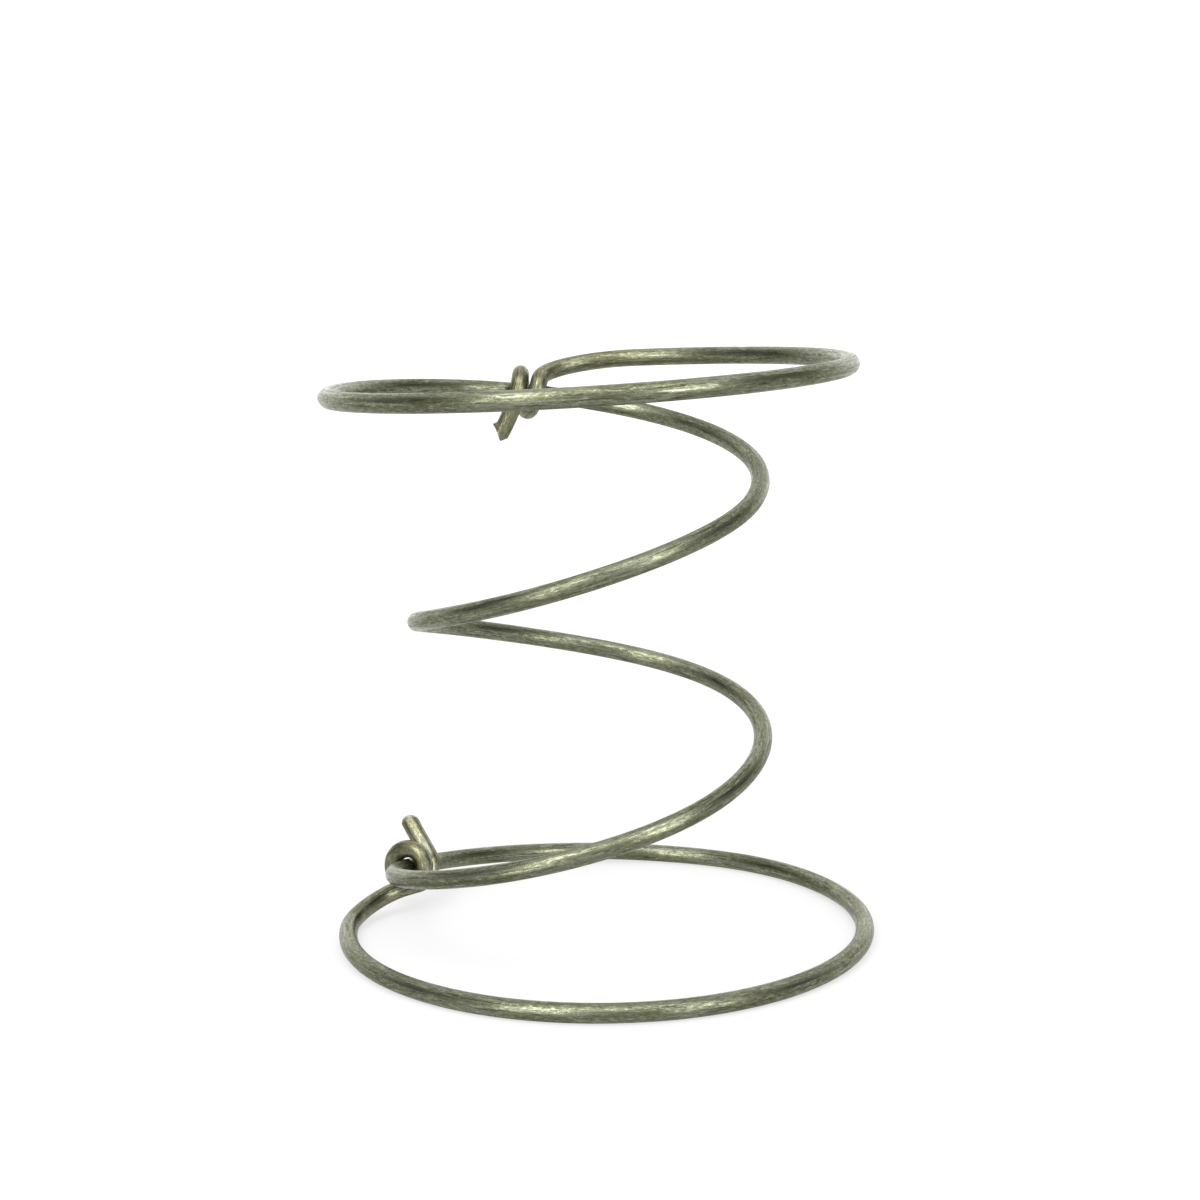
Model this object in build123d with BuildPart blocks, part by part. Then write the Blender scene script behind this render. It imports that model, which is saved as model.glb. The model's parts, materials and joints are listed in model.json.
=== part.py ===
from build123d import *
import math
import os

# Double-cone furniture spring: one continuous drawn steel wire, knotted to itself at both ends.
# Millimetres and degrees. Z is up; the base ring is centred on the origin and rests on Z = 0.
# Along the wire the angle keeps counting up: 0 is on +X, a turn later the same place is 360.

# Wire
wire_d = 3.25
wire_r = wire_d / 2

# Rings and waist, radii to the middle of the wire; the top ring is a little wider along X
base_ring_radius = 45.2
waist_radius = 29.25
waist_growth = 0.4
top_ring_radius = 43.35
top_ring_oval = 0.65

# Where the lower cone narrows and the upper cone widens
narrow_start = 36.0
narrow_end = 299.6
widen_start = 701.9
widen_end = 899.0

# Sideways run-out of the waist and of the top ring, as the coiler left them
waist_shift_x = -2.65
waist_shift_y = 1.4
top_shift_x = -1.8
top_shift_y = 0.25

# Height: pitch per turn in the coil and in the nearly closed top ring
coil_pitch = 45.8
top_pitch = 2.0
lift_start = 60.4
lift_blend = 97.7
level_start = 814.3
level_blend = 78.7
top_tilt_x = 1.8
top_tilt_y = 0.4

# Two soft set-marks left in the coil by the bending machine
mark_width = 60.0
low_mark_angle = 388.7
low_mark_lift = 1.7
low_mark_out = 1.95
high_mark_angle = 593.7
high_mark_lift = -2.05
high_mark_out = 0.15

# Knots: the end of each ring wraps once and a bit round the coil wire
wrap_gap = 0.13
wrap_pitch = 3.75
knot_step = 30.0
base_knot_angle = 156.5
base_knot_start = 15.0
base_knot_end = 490.0
base_leave = 180.0
base_lead_out = 7.5
base_lead_in = 4.2
base_tail_length = 8.8
base_tail_lean = 0.05
top_knot_angle = 827.4
top_knot_start = 25.0
top_knot_end = 455.0
top_leave = 1158.0
top_lead_out = 11.0
top_lead_in = 2.9
top_tail_length = 9.0
top_tail_lean = 0.3
top_ring_start = 900.0
nip_angle = 40.0
nip_set_back = 0.35
knot_coil_radius = 39.0

# Stretches of the coil between one twist joint and the next
coil_start = 180.0
coil_end = 810.0
coil_count = 11


def ease(t):
    t = min(max(t, 0.0), 1.0)
    return t * t * (3 - 2 * t)


def climb(angle, blend):
    if angle <= 0:
        return 0.0
    if angle < blend:
        return angle * angle / (2 * blend)
    return angle - blend / 2


def mark(angle, centre):
    return math.exp(-(((angle - centre) / mark_width) ** 2))


def coil_point(angle):
    low = ease((angle - narrow_start) / (narrow_end - narrow_start))
    high = ease((angle - widen_start) / (widen_end - widen_start))
    radius = base_ring_radius + (waist_radius - base_ring_radius) * low
    radius += (top_ring_radius - waist_radius) * high
    radius += waist_growth * (angle - 540) / 180 * (low - high)
    radius += low_mark_out * mark(angle, low_mark_angle)
    radius += high_mark_out * mark(angle, high_mark_angle)
    turn = math.radians(angle)
    radius += top_ring_oval * high * math.cos(turn) ** 2
    height = wire_r + coil_pitch / 360 * climb(angle - lift_start, lift_blend)
    height -= (coil_pitch - top_pitch) / 360 * climb(angle - level_start, level_blend)
    height += low_mark_lift * mark(angle, low_mark_angle)
    height += high_mark_lift * mark(angle, high_mark_angle)
    height += high * (top_tilt_x * math.cos(turn) + top_tilt_y * math.sin(turn))
    x = waist_shift_x * low + (top_shift_x - waist_shift_x) * high + radius * math.cos(turn)
    y = waist_shift_y * low + (top_shift_y - waist_shift_y) * high + radius * math.sin(turn)
    return Vector(x, y, height)


def heading(curve, at):
    return (curve(at + 0.01) - curve(at - 0.01)).normalized()


def wrap_curve(side, centre, middle):
    # side is +1 for the top knot and -1 for the base knot; the wrap moves on away from its ring
    reach = wire_d + wrap_gap
    spread = math.degrees(wrap_pitch / knot_coil_radius)

    def point(turned):
        angle = centre + side * spread * (turned - middle) / 360
        along = heading(coil_point, angle) * side
        up = (Vector(0, 0, 1) - along * along.Z).normalized()
        inward = along.cross(up) * -side
        turn = math.radians(turned)
        return coil_point(angle) + up * (side * reach * math.cos(turn)) + inward * (reach * math.sin(turn))

    return point


def bezier_curve(start, start_way, end, end_way):
    def point(t):
        s = 1 - t
        inner = (start + start_way) * (3 * s * s * t) + (end - end_way) * (3 * s * t * t)
        return start * (s * s * s) + inner + end * (t * t * t)

    return point


def steps(first, last, size):
    count = max(1, round(abs(last - first) / size))
    return [first + (last - first) * i / count for i in range(count + 1)]


def biarc(p, p_way, q, q_way):
    span = q - p
    bend = 2 * (1 - p_way.dot(q_way))
    pull = 2 * span.dot(p_way + q_way)
    reach = 2 * span.dot(span) / (pull + math.sqrt(pull * pull + 4 * bend * span.dot(span)))
    return (p + p_way * reach + q - q_way * reach) * 0.5


def wire_along(curve, stations):
    # a chain of tangent circular arcs through the stations, swept with the round wire
    edges = []
    for a, b in zip(stations, stations[1:]):
        sign = 1 if b > a else -1
        a_way = heading(curve, a) * sign
        b_way = heading(curve, b) * sign
        middle = biarc(curve(a), a_way, curve(b), b_way)
        first = TangentArc(curve(a), middle, tangent=a_way)
        edges.append(first)
        edges.append(TangentArc(middle, curve(b), tangent=first % 1))
    return Wire(edges)


def round_wire(path):
    with BuildSketch(Plane(origin=path @ 0, z_dir=path % 0)) as disc:
        Circle(wire_r)
    sweep(sections=disc.sketch, path=path)


def tail_wire(start, way, along, length, lean):
    # the cut-off end past the knot: a nearly straight stub that leans a little along the core wire
    tip = start + way * length + along * (lean * length / 2)
    return Wire([TangentArc(start, tip, tangent=way)])


def nip(tip, way, across):
    # side cutters leave a blunt wedge: two slanting cuts meeting just short of the end of the wire
    face = Plane(origin=tip - way * nip_set_back, x_dir=across, z_dir=way)
    standing = (Align.CENTER, Align.CENTER, Align.MIN)
    for sign in (1, -1):
        with Locations(face * Location((0, 0, 0), (sign * nip_angle, 0, 0))):
            Box(3 * wire_d, 3 * wire_d, wire_d, align=standing, mode=Mode.SUBTRACT)


os.makedirs("parts", exist_ok=True)

# Base knot: wrap, cut tail, and the end of the base ring running into it
base_wrap = wrap_curve(-1, base_knot_angle, (base_knot_start + base_knot_end) / 2)
base_wrap_stations = steps(base_knot_start, base_knot_end, knot_step)
with BuildPart() as base_knot:
    round_wire(wire_along(base_wrap, base_wrap_stations))
base_knot.part.label = "base_knot"
export_step(base_knot.part, "parts/base_knot.step")

base_tail_way = heading(base_wrap, base_knot_end)
base_core_way = heading(coil_point, base_knot_angle) * -1
base_tail_path = tail_wire(
    base_wrap(base_knot_end), base_tail_way, base_core_way, base_tail_length, base_tail_lean
)
with BuildPart() as base_tail:
    round_wire(base_tail_path)
    nip(base_tail_path @ 1, base_tail_path % 1, base_core_way)
base_tail.part.label = "base_tail"
export_step(base_tail.part, "parts/base_tail.step")

base_lead_curve = bezier_curve(
    coil_point(-base_leave),
    heading(coil_point, -base_leave) * -base_lead_out,
    base_wrap(base_knot_start),
    heading(base_wrap, base_knot_start) * base_lead_in,
)
with BuildPart() as base_lead:
    round_wire(wire_along(base_lead_curve, steps(0, 1, 0.2)))
base_lead.part.label = "base_lead"
export_step(base_lead.part, "parts/base_lead.step")

with BuildPart() as base_ring:
    round_wire(wire_along(coil_point, steps(-base_leave, narrow_start, 72)))
base_ring.part.label = "base_ring"
export_step(base_ring.part, "parts/base_ring.step")

with BuildPart() as base_rise:
    round_wire(wire_along(coil_point, steps(narrow_start, coil_start, 18)))
base_rise.part.label = "base_rise"
export_step(base_rise.part, "parts/base_rise.step")

# The working coil, one stretch per twist joint
coil_step = (coil_end - coil_start) / coil_count
for i in range(coil_count):
    start = coil_start + i * coil_step
    name = f"coil_{i + 1:02d}"
    with BuildPart() as stretch:
        round_wire(wire_along(coil_point, steps(start, start + coil_step, 15)))
    stretch.part.label = name
    export_step(stretch.part, f"parts/{name}.step")

# Top ring, the mirror of the base: the coil runs up into it and its end knots back round the coil
with BuildPart() as top_rise:
    round_wire(wire_along(coil_point, steps(coil_end, top_ring_start, 18)))
top_rise.part.label = "top_rise"
export_step(top_rise.part, "parts/top_rise.step")

with BuildPart() as top_ring:
    round_wire(wire_along(coil_point, steps(top_ring_start, top_leave, 36)))
top_ring.part.label = "top_ring"
export_step(top_ring.part, "parts/top_ring.step")

top_wrap = wrap_curve(1, top_knot_angle, (top_knot_start + top_knot_end) / 2)
top_lead_curve = bezier_curve(
    coil_point(top_leave),
    heading(coil_point, top_leave) * top_lead_out,
    top_wrap(top_knot_start),
    heading(top_wrap, top_knot_start) * top_lead_in,
)
with BuildPart() as top_lead:
    round_wire(wire_along(top_lead_curve, steps(0, 1, 0.2)))
top_lead.part.label = "top_lead"
export_step(top_lead.part, "parts/top_lead.step")

with BuildPart() as top_knot:
    round_wire(wire_along(top_wrap, steps(top_knot_start, top_knot_end, knot_step)))
top_knot.part.label = "top_knot"
export_step(top_knot.part, "parts/top_knot.step")

top_tail_way = heading(top_wrap, top_knot_end)
top_core_way = heading(coil_point, top_knot_angle)
top_tail_path = tail_wire(
    top_wrap(top_knot_end), top_tail_way, top_core_way, top_tail_length, top_tail_lean
)
with BuildPart() as top_tail:
    round_wire(top_tail_path)
    nip(top_tail_path @ 1, top_tail_path % 1, top_core_way.cross(top_tail_way))
top_tail.part.label = "top_tail"
export_step(top_tail.part, "parts/top_tail.step")
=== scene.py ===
import json
import math

import bpy
import numpy as np
from mathutils import Matrix, Vector, noise


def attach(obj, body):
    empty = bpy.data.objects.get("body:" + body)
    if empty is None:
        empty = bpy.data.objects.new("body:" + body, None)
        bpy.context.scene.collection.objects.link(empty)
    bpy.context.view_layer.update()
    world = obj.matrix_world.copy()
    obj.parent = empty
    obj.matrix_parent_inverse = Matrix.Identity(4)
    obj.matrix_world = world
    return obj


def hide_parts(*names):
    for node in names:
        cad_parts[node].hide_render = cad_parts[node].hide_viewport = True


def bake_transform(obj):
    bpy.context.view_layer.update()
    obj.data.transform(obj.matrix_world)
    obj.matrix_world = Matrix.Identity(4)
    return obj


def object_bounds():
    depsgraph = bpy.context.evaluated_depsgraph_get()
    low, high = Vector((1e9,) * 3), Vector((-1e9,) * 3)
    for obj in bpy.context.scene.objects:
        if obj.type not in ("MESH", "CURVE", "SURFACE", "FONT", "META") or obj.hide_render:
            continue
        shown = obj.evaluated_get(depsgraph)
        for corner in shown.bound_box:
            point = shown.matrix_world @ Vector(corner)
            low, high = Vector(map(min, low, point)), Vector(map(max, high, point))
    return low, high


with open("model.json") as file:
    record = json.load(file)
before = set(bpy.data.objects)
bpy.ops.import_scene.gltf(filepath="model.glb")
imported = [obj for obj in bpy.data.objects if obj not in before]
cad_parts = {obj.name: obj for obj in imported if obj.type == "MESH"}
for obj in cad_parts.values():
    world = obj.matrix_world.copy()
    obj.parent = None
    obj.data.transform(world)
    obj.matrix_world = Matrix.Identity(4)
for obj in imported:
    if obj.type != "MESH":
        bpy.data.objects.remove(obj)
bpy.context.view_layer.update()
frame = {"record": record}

# One drawn steel wire, in millimetres and degrees until a mesh is made; MM turns them into metres.
# The angle keeps counting up along the wire: 0 is on +X, a turn later the same place is 360.
MM = 0.001
wire_r = 1.625
skin = 0.012

base_ring_radius = 45.2
waist_radius = 29.25
waist_growth = 0.4
top_ring_radius = 43.35
top_ring_oval = 0.65
narrow_start, narrow_end = 36.0, 299.6
widen_start, widen_end = 701.9, 899.0
waist_shift = (-2.65, 1.4)
top_shift = (-1.8, 0.25)
coil_pitch = 45.8
top_pitch = 2.0
lift_start, lift_blend = 60.4, 97.7
level_start, level_blend = 814.3, 78.7
top_tilt = (1.8, 0.4)
mark_width = 60.0
low_mark = (388.7, 1.7, 1.95)
high_mark = (593.7, -2.05, 0.15)

wrap_reach = 2 * wire_r + 0.13
wrap_spread = math.degrees(3.75 / 39.0)
base_knot_angle, base_knot_start, base_knot_end = 156.5, 15.0, 490.0
top_knot_angle, top_knot_start, top_knot_end = 827.4, 25.0, 455.0
base_leave, base_lead_out, base_lead_in = 180.0, 7.5, 4.2
top_leave, top_lead_out, top_lead_in = 1158.0, 11.0, 2.9
base_tail_length, base_tail_lean = 8.8, 0.05
top_tail_length, top_tail_lean = 9.0, 0.3
rise_start, top_ring_start = 36.0, 900.0
coil_start, coil_end, coil_count = 180.0, 810.0, 11

# Mesh fineness
row_step = 0.5
tail_step = 0.2
sides = 48
cap_rings = 9

# Cut ends, with the top one sheared and the base one rounded, and the length over which the tube runs into
# each cut
cut_reach = 3.4
top_ridge = 0.7
top_slopes = (0.8, 1.2)
top_set_back = 0.15
top_tear = 0.12
burr_height = 0.5
burr_half_angle = 0.5
burr_back, burr_length = 2.3, 0.45
dome_radius = 1.7
dome_set_back = 0.1
dome_slant = 0.12
dome_tear = 0.07

# Drawn surface, always inwards: length along the wire, grain round it, start in the noise, depth, lift
drawn_marks = (
    (26, 3.1, 0, 0.014, 0.6),
    (9, 5.2, 40, 0.007, 0.5),
    (12, 0.9, 90, 0.012, 0.6),
)
dents_each = 7
dent_depths = (0.03, 0.09)
dent_lengths = (0.5, 1.2)
dent_width = 0.45


# ---------------------------------------------------------------- the wire's centre line

def ease(t):
    t = np.clip(t, 0.0, 1.0)
    return t * t * (3 - 2 * t)


def climb(angle, blend):
    risen = np.where(angle < blend, angle * angle / (2 * blend), angle - blend / 2)
    return np.where(angle <= 0, 0.0, risen)


def coil_point(angle):
    angle = np.asarray(angle, float)
    low = ease((angle - narrow_start) / (narrow_end - narrow_start))
    high = ease((angle - widen_start) / (widen_end - widen_start))
    radius = base_ring_radius + (waist_radius - base_ring_radius) * low
    radius = radius + (top_ring_radius - waist_radius) * high
    radius = radius + waist_growth * (angle - 540) / 180 * (low - high)
    height = wire_r + coil_pitch / 360 * climb(angle - lift_start, lift_blend)
    height = height - (coil_pitch - top_pitch) / 360 * climb(angle - level_start, level_blend)
    for centre, lift, out in (low_mark, high_mark):
        near = np.exp(-(((angle - centre) / mark_width) ** 2))
        radius = radius + out * near
        height = height + lift * near
    turn = np.radians(angle)
    radius = radius + top_ring_oval * high * np.cos(turn) ** 2
    height = height + high * (top_tilt[0] * np.cos(turn) + top_tilt[1] * np.sin(turn))
    x = waist_shift[0] * low + (top_shift[0] - waist_shift[0]) * high + radius * np.cos(turn)
    y = waist_shift[1] * low + (top_shift[1] - waist_shift[1]) * high + radius * np.sin(turn)
    return np.stack([x, y, height], -1)


def unit(v):
    return v / np.linalg.norm(v, axis=-1, keepdims=True)


def heading(curve, at, small=0.01):
    return unit(curve(np.asarray(at, float) + small) - curve(np.asarray(at, float) - small))


def wrap_curve(side, centre, middle):
    def point(turned):
        turned = np.atleast_1d(np.asarray(turned, float))
        angle = centre + side * wrap_spread * (turned - middle) / 360
        along = heading(coil_point, angle) * side
        up = unit(np.array([0.0, 0.0, 1.0]) - along * along[:, 2:3])
        inward = np.cross(along, up) * -side
        turn = np.radians(turned)[:, None]
        bent = up * (side * wrap_reach * np.cos(turn)) + inward * (wrap_reach * np.sin(turn))
        return coil_point(angle) + bent

    return point


def bezier_curve(start, start_way, end, end_way):
    def point(t):
        t = np.atleast_1d(np.asarray(t, float))[:, None]
        s = 1 - t
        inner = (start + start_way) * (3 * s * s * t) + (end - end_way) * (3 * s * t * t)
        return start * s**3 + inner + end * t**3

    return point


def tail_curve(start, way, along, length, lean):
    def point(t):
        t = np.atleast_1d(np.asarray(t, float))[:, None]
        return start + way * (length * t) + along * (lean * length / 2 * t * t)

    return point


base_wrap = wrap_curve(-1, base_knot_angle, (base_knot_start + base_knot_end) / 2)
base_core_way = -heading(coil_point, base_knot_angle)
base_tail_line = tail_curve(
    base_wrap(base_knot_end)[0],
    heading(base_wrap, base_knot_end)[0],
    base_core_way,
    base_tail_length,
    base_tail_lean,
)
base_lead_line = bezier_curve(
    coil_point(-base_leave),
    heading(coil_point, -base_leave) * -base_lead_out,
    base_wrap(base_knot_start)[0],
    heading(base_wrap, base_knot_start)[0] * base_lead_in,
)
top_wrap = wrap_curve(1, top_knot_angle, (top_knot_start + top_knot_end) / 2)
top_core_way = heading(coil_point, top_knot_angle)
top_tail_line = tail_curve(
    top_wrap(top_knot_end)[0],
    heading(top_wrap, top_knot_end)[0],
    top_core_way,
    top_tail_length,
    top_tail_lean,
)
top_lead_line = bezier_curve(
    coil_point(top_leave),
    heading(coil_point, top_leave) * top_lead_out,
    top_wrap(top_knot_start)[0],
    heading(top_wrap, top_knot_start)[0] * top_lead_in,
)

# Every stretch in order along the wire: CAD node, curve, first and last value on it
stretches = [
    ("base_tail", base_tail_line, 1.0, 0.0),
    ("base_knot", base_wrap, base_knot_end, base_knot_start),
    ("base_lead", base_lead_line, 1.0, 0.0),
    ("base_ring", coil_point, -base_leave, rise_start),
    ("base_rise", coil_point, rise_start, coil_start),
]
coil_step = (coil_end - coil_start) / coil_count
for number in range(coil_count):
    first = coil_start + number * coil_step
    stretches.append((f"coil_{number + 1:02d}", coil_point, first, first + coil_step))
stretches += [
    ("top_rise", coil_point, coil_end, top_ring_start),
    ("top_ring", coil_point, top_ring_start, top_leave),
    ("top_lead", top_lead_line, 0.0, 1.0),
    ("top_knot", top_wrap, top_knot_start, top_knot_end),
    ("top_tail", top_tail_line, 0.0, 1.0),
]


def even_stations(curve, first, last, step):
    """Values on the curve, from first to last, that are about a step apart along it."""
    fine = np.linspace(first, last, 400)
    run = np.linalg.norm(np.diff(curve(fine), axis=0), axis=1)
    length = np.concatenate([[0.0], np.cumsum(run)])
    count = max(4, round(length[-1] / step))
    return np.interp(np.linspace(0, length[-1], count + 1), length, fine)


def whole_wire():
    """Points, directions and first row of every stretch, with the row between two stretches shared."""
    points, ways, rows = [], [], {}
    at = 0
    for node, curve, first, last in stretches:
        stations = even_stations(curve, first, last, tail_step if node.endswith("tail") else row_step)
        small = 0.0005 if abs(last - first) <= 1 else 0.01
        way = heading(curve, stations, small) * (1 if last > first else -1)
        point = curve(stations)
        rows[node] = (at, at + len(stations) - 1)
        at += len(stations) - 1
        points.append(point if node == stretches[0][0] else point[1:])
        ways.append(way if node == stretches[0][0] else way[1:])
    return np.concatenate(points), np.concatenate(ways), rows


def carried_frames(ways):
    """A side direction for every row, carried along the wire without twisting about it."""
    sides_out = np.empty_like(ways)
    side = unit(np.cross(ways[0], [0.0, 1.0, 0.0]))
    for i, way in enumerate(ways):
        side = unit(side - way * (side @ way))
        sides_out[i] = side
    return sides_out, np.cross(ways, sides_out)


centre, way, row_of = whole_wire()
side_a, side_b = carried_frames(way)
run = np.concatenate([[0.0], np.cumsum(np.linalg.norm(np.diff(centre, axis=0), axis=1))])
total_run = run[-1]


# ---------------------------------------------------------------- surface relief, always inwards

def relief(rows, theta):
    """How far the drawn surface lies under the full radius: long die lines, fine hairs and a slow swell."""
    depth = np.zeros((len(rows), len(theta)))
    ca, sa = np.cos(theta), np.sin(theta)
    for i, u in enumerate(rows):
        for j in range(len(theta)):
            for length, fine, start, deep, lift in drawn_marks:
                mark = noise.noise(Vector((u / length + start, ca[j] * fine, sa[j] * fine)))
                depth[i, j] += deep * (mark + lift)
    return np.clip(depth, 0.0, None)


theta = np.linspace(0, 2 * math.pi, sides, endpoint=False)
depth = relief(run, theta)

# Small dents where the knotting jaws held the wire, near both knots
dents = np.random.default_rng(7)
for near, spread in ((38.0, 9.0), (total_run - 36.0, 9.0), (70.0, 20.0), (total_run - 75.0, 22.0)):
    for _ in range(dents_each):
        u0 = near + dents.normal() * spread
        t0 = dents.uniform(0, 2 * math.pi)
        deep = dents.uniform(*dent_depths)
        away = (theta - t0 + math.pi) % (2 * math.pi) - math.pi
        size_u = dents.uniform(*dent_lengths)
        near_u = np.exp(-(((run - u0) / size_u) ** 2))
        depth += deep * near_u[:, None] * np.exp(-((away * wire_r / dent_width) ** 2))[None, :]

radius = wire_r - skin - depth
ring = np.cos(theta)[None, :, None] * side_a[:, None, :]
ring = ring + np.sin(theta)[None, :, None] * side_b[:, None, :]
surface = centre[:, None, :] + ring * radius[:, :, None]


# ---------------------------------------------------------------- cut ends

def on_wire(u, theta_at, radius_at):
    """Points at a distance u along the wire, at an angle and a radius round it; all arrays alike."""
    def along(values):
        return np.stack([np.interp(u, run, values[:, k]) for k in range(3)], -1)

    round_it = np.cos(theta_at)[..., None] * along(side_a) + np.sin(theta_at)[..., None] * along(side_b)
    return along(centre) + round_it * np.asarray(radius_at)[..., None]


def shape_end(node, across, cut, burr):
    """Runs a tail's last rows up to its cut and returns the rings of the cut face and its middle."""
    first, last = row_of[node]
    at_end = node == "top_tail"
    tip = run[last] if at_end else run[first]
    inwards = -1 if at_end else 1
    tip_row = last if at_end else first
    frame_way = way[tip_row]
    e_x = unit(across - frame_way * (across @ frame_way))
    turned = math.atan2(e_x @ side_b[tip_row], e_x @ side_a[tip_row])
    local = theta - turned
    rows = range(first, last + 1)
    for i in rows:
        back = abs(tip - run[i])
        if back > cut_reach:
            continue
        rim = cut(wire_r * np.cos(local), wire_r * np.sin(local))
        here = rim + (cut_reach - rim) * back / cut_reach
        bump = burr(local, here)
        surface[i] = on_wire(tip + inwards * here, theta, radius[i] + bump)
    rim_radius = np.linalg.norm(surface[tip_row] - on_wire(tip + inwards * rim, theta, 0 * theta), axis=-1)
    rings = []
    for m in range(1, cap_rings):
        share = 1 - m / cap_rings
        r = rim_radius * share
        at = cut(r * np.cos(local), r * np.sin(local))
        rings.append(on_wire(tip + inwards * at, theta, r))
    zero = np.zeros(1)
    middle = on_wire(tip + inwards * cut(zero, zero), zero, zero)[0]
    return rings, middle


def torn(x, y, seed):
    return np.array([noise.noise(Vector((a * 2.2, b * 2.2, seed))) for a, b in zip(x, y)])


def top_cut(x, y):
    # sheared from both sides: two slants of different steepness that meet in a torn ridge
    ridge = x - top_ridge
    slant = np.where(ridge < 0, -top_slopes[0] * ridge, top_slopes[1] * ridge)
    return top_set_back + slant + top_tear * torn(x, y, 3.0)


def base_cut(x, y):
    # nipped and rolled over to a blunt round end
    bulge = dome_radius - np.sqrt(dome_radius**2 - np.minimum(x * x + y * y, (wire_r * 1.02) ** 2))
    return dome_set_back + bulge + dome_slant * x + dome_tear * torn(x, y, 9.0)


def top_burr(local, back):
    # a lip raised on the far side of the wire, a little way back from the cut
    away = local % (2 * math.pi) - math.pi
    around = np.exp(-((away / burr_half_angle) ** 2))
    return burr_height * around * np.exp(-(((back - burr_back) / burr_length) ** 2))


def no_burr(local, back):
    return 0 * back


x_way = np.array([1.0, 0.0, 0.0])
top_rings, top_middle = shape_end("top_tail", x_way, top_cut, top_burr)
base_rings, base_middle = shape_end("base_tail", x_way, base_cut, no_burr)


# ---------------------------------------------------------------- meshes

def surface_normals(grid):
    along = np.gradient(grid, axis=0)
    around = np.roll(grid, -1, axis=1) - np.roll(grid, 1, axis=1)
    return unit(np.cross(around, along))


normals = surface_normals(surface)


def band(upper, lower):
    """Faces between two rings of point numbers, facing outwards when lower is further along the wire."""
    after = np.roll(upper, -1), np.roll(lower, -1)
    return np.stack([upper, after[0], after[1], lower], -1)


def tube_mesh(name, first, last, start_cap, end_cap):
    """A closed tube over rows first to last. A cap is (inner rings, middle) or None for a plain flat end."""
    grid = surface[first : last + 1]
    count = len(grid)
    points = [grid.reshape(-1, 3)]
    numbers = np.arange(count * sides).reshape(count, sides)
    faces = np.concatenate([band(numbers[i], numbers[i + 1]) for i in range(count - 1)]).tolist()
    normal = normals[first : last + 1].reshape(-1, 3)
    corner_normals = [normal[i] for face in faces for i in face]
    step = np.arange(sides) / sides
    v = np.stack([step, step + 1 / sides, step + 1 / sides, step], -1)
    uv = []
    for i in range(count - 1):
        u = np.array([run[first + i], run[first + i], run[first + i + 1], run[first + i + 1]]) * MM
        uv.append(np.stack([np.broadcast_to(u, v.shape), v], -1).reshape(-1, 2))
    uv = np.concatenate(uv).tolist()
    kinds = [0] * len(faces)
    for cap, edge, row, flip in ((start_cap, numbers[0], first, True), (end_cap, numbers[-1], last, False)):
        rings, middle = cap if cap else ([], centre[row])
        size = sum(len(p) for p in points)
        cap_faces = []
        for inner in rings:
            points.append(inner)
            inner_numbers = np.arange(size, size + sides)
            cap_faces += band(edge, inner_numbers).tolist()
            edge, size = inner_numbers, size + sides
        points.append(middle[None, :])
        cap_faces += [[a, b, size] for a, b in zip(edge, np.roll(edge, -1))]
        placed = np.concatenate(points)
        for face in cap_faces:
            face = face[::-1] if flip else face
            p = placed[face]
            flat = unit(np.cross(p[1] - p[0], p[2] - p[0]) + 1e-12)
            faces.append(face)
            corner_normals += [flat] * len(face)
            uv += [(run[row] * MM + 0.3 * MM * (q - centre[row]) @ side_a[row],
                    0.5 + 0.08 * (q - centre[row]) @ side_b[row]) for q in p]
            kinds.append(1 if cap else 0)
    mesh = bpy.data.meshes.new(name)
    mesh.from_pydata((np.concatenate(points) * MM).tolist(), [], faces)
    layer = mesh.uv_layers.new(name="wire")
    layer.data.foreach_set("uv", np.array(uv, np.float32).ravel())
    mesh.polygons.foreach_set("material_index", kinds)
    mesh.polygons.foreach_set("use_smooth", [True] * len(faces))
    mesh.update()
    mesh.normals_split_custom_set([tuple(n) for n in corner_normals])
    return mesh


# ---------------------------------------------------------------- materials

def add(tree, kind, inputs=None, **settings):
    made = tree.nodes.new(kind)
    for name, value in settings.items():
        setattr(made, name, value)
    for key, value in (inputs or {}).items():
        if isinstance(value, bpy.types.NodeSocket):
            tree.links.new(value, made.inputs[key])
        else:
            made.inputs[key].default_value = value
    return made


def math_node(tree, operation, a, b=0.0):
    return add(tree, "ShaderNodeMath", {0: a, 1: b}, operation=operation).outputs[0]


class WireSpace:
    """Places on the wire's surface: distance along it and the point on its round section, without a seam."""

    def __init__(self, tree):
        self.tree = tree
        uv = add(tree, "ShaderNodeUVMap", uv_map="wire").outputs["UV"]
        parts = add(tree, "ShaderNodeSeparateXYZ", {0: uv})
        turn = math_node(tree, "MULTIPLY", parts.outputs["Y"], 2 * math.pi)
        self.along = parts.outputs["X"]
        self.cos = math_node(tree, "COSINE", turn)
        self.sin = math_node(tree, "SINE", turn)

    def place(self, length, width, shift):
        across = wire_r * MM / width
        u = math_node(self.tree, "MULTIPLY_ADD", self.along, 1 / length)
        u.node.inputs[2].default_value = shift
        joined = {
            "X": u,
            "Y": math_node(self.tree, "MULTIPLY", self.cos, across),
            "Z": math_node(self.tree, "MULTIPLY", self.sin, across),
        }
        return add(self.tree, "ShaderNodeCombineXYZ", joined).outputs[0]

    def streaks(self, length, width, shift, detail=2.0, rough=0.5):
        """Noise that is long along the wire and narrow round it; length and width in metres."""
        inputs = {
            "Vector": self.place(length, width, shift),
            "Scale": 1.0,
            "Detail": detail,
            "Roughness": rough,
        }
        return add(self.tree, "ShaderNodeTexNoise", inputs).outputs["Fac"]


def ramp(tree, value, low, high, from_value=0.0, to_value=1.0):
    inputs = {"Value": value, "From Min": low, "From Max": high, "To Min": from_value, "To Max": to_value}
    return add(tree, "ShaderNodeMapRange", inputs, interpolation_type="SMOOTHSTEP").outputs[0]


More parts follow.
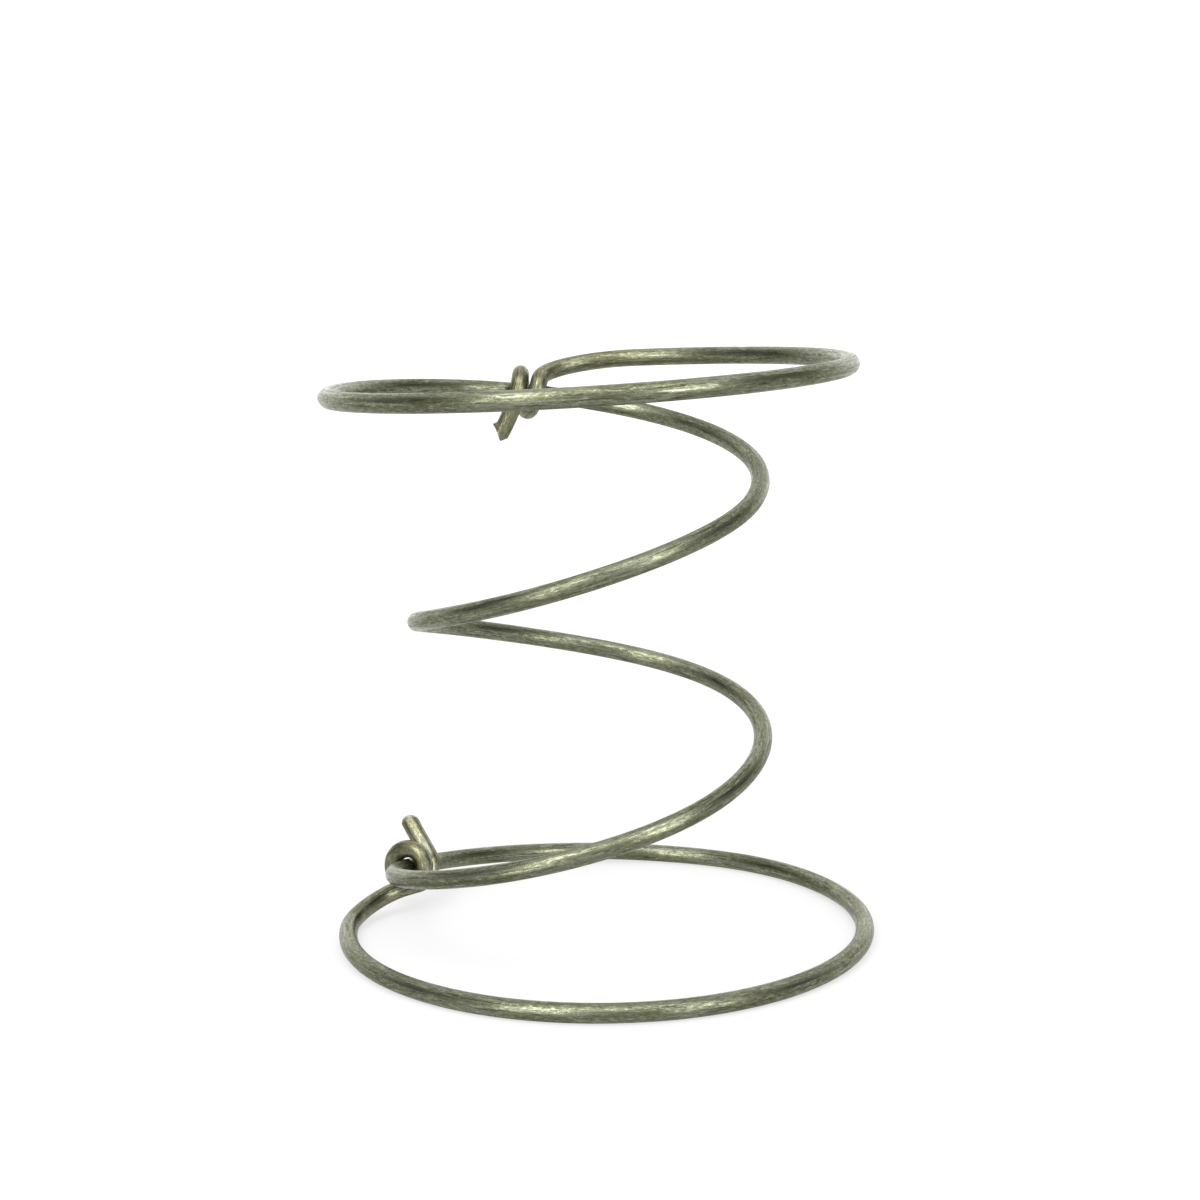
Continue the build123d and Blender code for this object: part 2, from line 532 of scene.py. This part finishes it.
def blend_colour(tree, factor, a, b):
    made = add(tree, "ShaderNodeMix", {0: factor}, data_type="RGBA")
    for socket, value in ((made.inputs[6], a), (made.inputs[7], b)):
        if isinstance(value, bpy.types.NodeSocket):
            tree.links.new(value, socket)
        else:
            socket.default_value = (*value, 1.0)
    return made.outputs[2]


def new_material(name):
    material = bpy.data.materials.new(name)
    material.use_nodes = True
    tree = material.node_tree
    tree.nodes.clear()
    shader = add(tree, "ShaderNodeBsdfPrincipled")
    output = add(tree, "ShaderNodeOutputMaterial")
    tree.links.new(shader.outputs[0], output.inputs[0])
    return material, tree, shader


olive = (0.132, 0.138, 0.086)
grey = (0.190, 0.199, 0.144)
dark = (0.045, 0.049, 0.024)
pale = (0.42, 0.43, 0.32)
# painted glint colour and its reach: warm glints near both knots, full out to the first distance from each
# end of the wire and gone past the second
warm_glint = (0.24, 0.21, 0.115)
edge_tint = (0.9, 0.9, 0.86, 1.0)
glint_full, glint_none = 0.030, 0.085


def wire_material():
    material, tree, shader = new_material("drawn_steel")
    shader.inputs["Metallic"].default_value = 1.0
    shader.inputs["Specular Tint"].default_value = edge_tint
    # drawn along its length: smooth that way, rough across
    shader.inputs["Anisotropic"].default_value = 0.75
    shader.inputs["Anisotropic Rotation"].default_value = 0.25
    tangent = add(tree, "ShaderNodeTangent", direction_type="UV_MAP", uv_map="wire")
    tree.links.new(tangent.outputs[0], shader.inputs["Tangent"])
    space = WireSpace(tree)
    broad = space.streaks(0.018, 0.0014, 3.0)
    cloud = space.streaks(0.005, 0.0010, 11.0, 3.0)
    lines = space.streaks(0.007, 0.00032, 23.0, 2.0)
    more_lines = space.streaks(0.011, 0.00050, 31.0, 2.0)
    flecks = space.streaks(0.0011, 0.00030, 79.0, 3.0, 0.65)
    hairs = space.streaks(0.0035, 0.00009, 41.0, 3.0, 0.6)
    grain = space.streaks(0.00045, 0.00020, 53.0, 2.0, 0.6)
    rings = space.streaks(0.00035, 0.004, 67.0, 1.0)

    colour = blend_colour(tree, ramp(tree, broad, 0.38, 0.62), olive, grey)
    # painted warm glints: the colour turns warmer in patches near both knots, out to a distance from each
    # end of the wire
    wire_end = total_run * MM
    knot_near = ramp(tree, space.along, glint_full, glint_none, 1.0, 0.0)
    knot_far = ramp(tree, space.along, wire_end - glint_none, wire_end - glint_full)
    knots = math_node(tree, "ADD", knot_near, knot_far)
    knot_glint = math_node(tree, "MULTIPLY", knots, ramp(tree, cloud, 0.4, 0.62, 0.05, 0.5))
    colour = blend_colour(tree, knot_glint, colour, warm_glint)
    # each mark covers more of the colour under it from its first noise value to its second
    marks = (
        (lines, 0.56, 0.68, 0.85, dark),
        (more_lines, 0.40, 0.31, 0.3, pale),
        (flecks, 0.46, 0.32, 0.45, pale),
        (flecks, 0.52, 0.66, 0.55, dark),
        (hairs, 0.46, 0.66, 0.35, dark),
        (grain, 0.54, 0.70, 0.45, dark),
    )
    for noise_value, none_at, full_at, cover, tint in marks:
        colour = blend_colour(tree, ramp(tree, noise_value, none_at, full_at, 0.0, cover), colour, tint)
    tree.links.new(colour, shader.inputs["Base Color"])

    gloss = ramp(tree, more_lines, 0.3, 0.7, 0.20, 0.38)
    gloss = math_node(tree, "ADD", gloss, ramp(tree, flecks, 0.3, 0.7, -0.05, 0.12))
    gloss = math_node(tree, "ADD", gloss, ramp(tree, grain, 0.35, 0.7, -0.02, 0.06))
    tree.links.new(gloss, shader.inputs["Roughness"])

    height = math_node(tree, "MULTIPLY", lines, -0.6)
    heights = ((more_lines, 0.7), (flecks, -0.55), (hairs, 0.25), (grain, 0.35), (rings, 0.12))
    for noise_value, share in heights:
        height = math_node(tree, "ADD", height, math_node(tree, "MULTIPLY", noise_value, share))
    bump = add(tree, "ShaderNodeBump", {"Strength": 0.6, "Distance": 0.00006, "Height": height})
    tree.links.new(bump.outputs[0], shader.inputs["Normal"])
    return material


def cut_material():
    """The sheared faces of the two wire ends: brighter, torn steel."""
    material, tree, shader = new_material("sheared_steel")
    shader.inputs["Metallic"].default_value = 1.0
    coords = add(tree, "ShaderNodeTexCoord").outputs["Object"]
    coarse_inputs = {"Vector": coords, "Scale": 1500.0, "Detail": 4.0}
    fine_inputs = {"Vector": coords, "Scale": 6000.0, "Detail": 2.0}
    coarse = add(tree, "ShaderNodeTexNoise", coarse_inputs).outputs["Fac"]
    fine = add(tree, "ShaderNodeTexNoise", fine_inputs).outputs["Fac"]
    colour = blend_colour(tree, ramp(tree, coarse, 0.35, 0.65), grey, pale)
    tree.links.new(colour, shader.inputs["Base Color"])
    tree.links.new(ramp(tree, fine, 0.3, 0.7, 0.28, 0.5), shader.inputs["Roughness"])
    height = math_node(tree, "ADD", coarse, math_node(tree, "MULTIPLY", fine, 0.4))
    bump = add(tree, "ShaderNodeBump", {"Strength": 0.6, "Distance": 0.00012, "Height": height})
    tree.links.new(bump.outputs[0], shader.inputs["Normal"])
    return material


# ---------------------------------------------------------------- the pieces

drawn_steel = wire_material()
sheared_steel = cut_material()
body_of_node = {n: b for b, nodes in frame["record"]["behaviour"]["bodies"].items() for n in nodes}
caps = {"base_tail": ((base_rings, base_middle), None), "top_tail": (None, (top_rings, top_middle))}

for node, (first, last) in row_of.items():
    start_cap, end_cap = caps.get(node, (None, None))
    mesh = tube_mesh(node + "_wire", first, last, start_cap, end_cap)
    mesh.materials.append(drawn_steel)
    mesh.materials.append(sheared_steel)
    piece = bpy.data.objects.new(node + "_wire", mesh)
    bpy.context.scene.collection.objects.link(piece)
    body = body_of_node[node]
    if node.startswith("coil_") or node == "top_rise":
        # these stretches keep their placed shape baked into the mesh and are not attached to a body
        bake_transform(piece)
    else:
        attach(piece, body)
    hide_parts(node)


# ---------------------------------------------------------------- camera, floor and light

camera_place = Vector((0.00013, -0.3522, 0.1153))
camera_down = math.radians(9.05)
camera_yaw = math.radians(-0.08)
camera_roll = math.radians(-0.78)
sensor = 36.0
camera_lens = 62.2281

floor_radius, floor_sides = 4.0, 96
glow_near, glow_far = (0.12, 0.66), (0.7, 0.9)

# The studio: how much of its light is missing at the open sides, and how much is added behind and overhead
side_loss = 0.85
back_gain = 0.55
top_gain = 0.5

# Soft boxes: place, width and height, watts
lights = (
    ("front_left", (-0.40, -0.64, 0.44), (0.39, 0.98), 4.8),
    ("front_right", (0.52, -0.62, 0.30), (0.36, 0.62), 3.2),
    ("overhead", (-0.03, -0.365, 0.87), (0.96, 0.45), 4.1),
)


def make_camera():
    data = bpy.data.cameras.new("camera")
    data.sensor_width = sensor
    data.lens = camera_lens
    data.clip_start = 0.01
    data.clip_end = 50
    camera = bpy.data.objects.new("camera", data)
    ahead = Vector((
        math.sin(camera_yaw) * math.cos(camera_down),
        math.cos(camera_yaw) * math.cos(camera_down),
        -math.sin(camera_down),
    ))
    right = ahead.cross(Vector((0, 0, 1))).normalized()
    up = right.cross(ahead)
    right_rolled = right * math.cos(camera_roll) + up * math.sin(camera_roll)
    up_rolled = up * math.cos(camera_roll) - right * math.sin(camera_roll)
    turn = Matrix((right_rolled, up_rolled, -ahead)).transposed().to_4x4()
    camera.matrix_world = Matrix.Translation(camera_place) @ turn
    bpy.context.scene.collection.objects.link(camera)
    bpy.context.scene.camera = camera


def make_floor():
    mesh = bpy.data.meshes.new("floor")
    turns = [2 * math.pi * k / floor_sides for k in range(floor_sides)]
    rim = [(floor_radius * math.cos(turn), floor_radius * math.sin(turn), 0.0) for turn in turns]
    mesh.from_pydata(rim, [], [list(range(floor_sides))])
    floor = bpy.data.objects.new("floor", mesh)
    bpy.context.scene.collection.objects.link(floor)
    material, tree, shader = new_material("floor_white")
    shader.inputs["Base Color"].default_value = (0.2, 0.2, 0.2, 1.0)
    shader.inputs["Roughness"].default_value = 0.9
    shader.inputs["Specular IOR Level"].default_value = 0.1
    shader.inputs["Emission Color"].default_value = (1.0, 1.0, 1.0, 1.0)
    place = add(tree, "ShaderNodeTexCoord").outputs["Object"]
    away = add(tree, "ShaderNodeVectorMath", {0: place}, operation="LENGTH").outputs["Value"]
    glow = ramp(tree, away, glow_near[0], glow_far[0], glow_near[1], glow_far[1])
    tree.links.new(glow, shader.inputs["Emission Strength"])
    mesh.materials.append(material)


def make_light(name, place, target, size, power):
    data = bpy.data.lights.new(name, "AREA")
    data.shape = "RECTANGLE"
    data.size, data.size_y = size
    data.energy = power
    light = bpy.data.objects.new(name, data)
    light.location = place
    light.rotation_mode = "QUATERNION"
    light.rotation_quaternion = (Vector(target) - Vector(place)).to_track_quat("-Z", "Y")
    light.visible_camera = False
    bpy.context.scene.collection.objects.link(light)


def make_world():
    world = bpy.data.worlds.new("studio")
    bpy.context.scene.world = world
    world.use_nodes = True
    tree = world.node_tree
    tree.nodes.clear()
    direction = add(tree, "ShaderNodeTexCoord").outputs["Generated"]
    parts = add(tree, "ShaderNodeSeparateXYZ", {0: direction})
    depth_wise = math_node(tree, "ABSOLUTE", parts.outputs["Y"])
    rise = parts.outputs["Z"]
    # the studio is open and dim to the left and right, and brightest behind and overhead
    sideways = ramp(tree, depth_wise, 0.1, 0.55, 1.0, 0.0)
    open_side = math_node(tree, "MULTIPLY", sideways, ramp(tree, rise, 0.04, 0.2))
    open_side = math_node(tree, "MULTIPLY", open_side, ramp(tree, rise, 0.55, 0.9, 1.0, 0.0))
    light = math_node(tree, "MULTIPLY_ADD", open_side, -side_loss)
    light.node.inputs[2].default_value = 1.0
    light = math_node(tree, "ADD", light, ramp(tree, parts.outputs["Y"], 0.35, 0.8, 0.0, back_gain))
    light = math_node(tree, "ADD", light, ramp(tree, rise, 0.6, 0.9, 0.0, top_gain))
    background = add(tree, "ShaderNodeBackground", {"Color": (1.0, 1.0, 1.0, 1.0), "Strength": light})
    output = add(tree, "ShaderNodeOutputWorld")
    tree.links.new(background.outputs[0], output.inputs[0])


low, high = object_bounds()
middle = (low + high) / 2
make_camera()
make_floor()
make_world()
for name, place, size, power in lights:
    make_light(name, place, middle, size, power)
bpy.context.scene.view_settings.view_transform = "Standard"
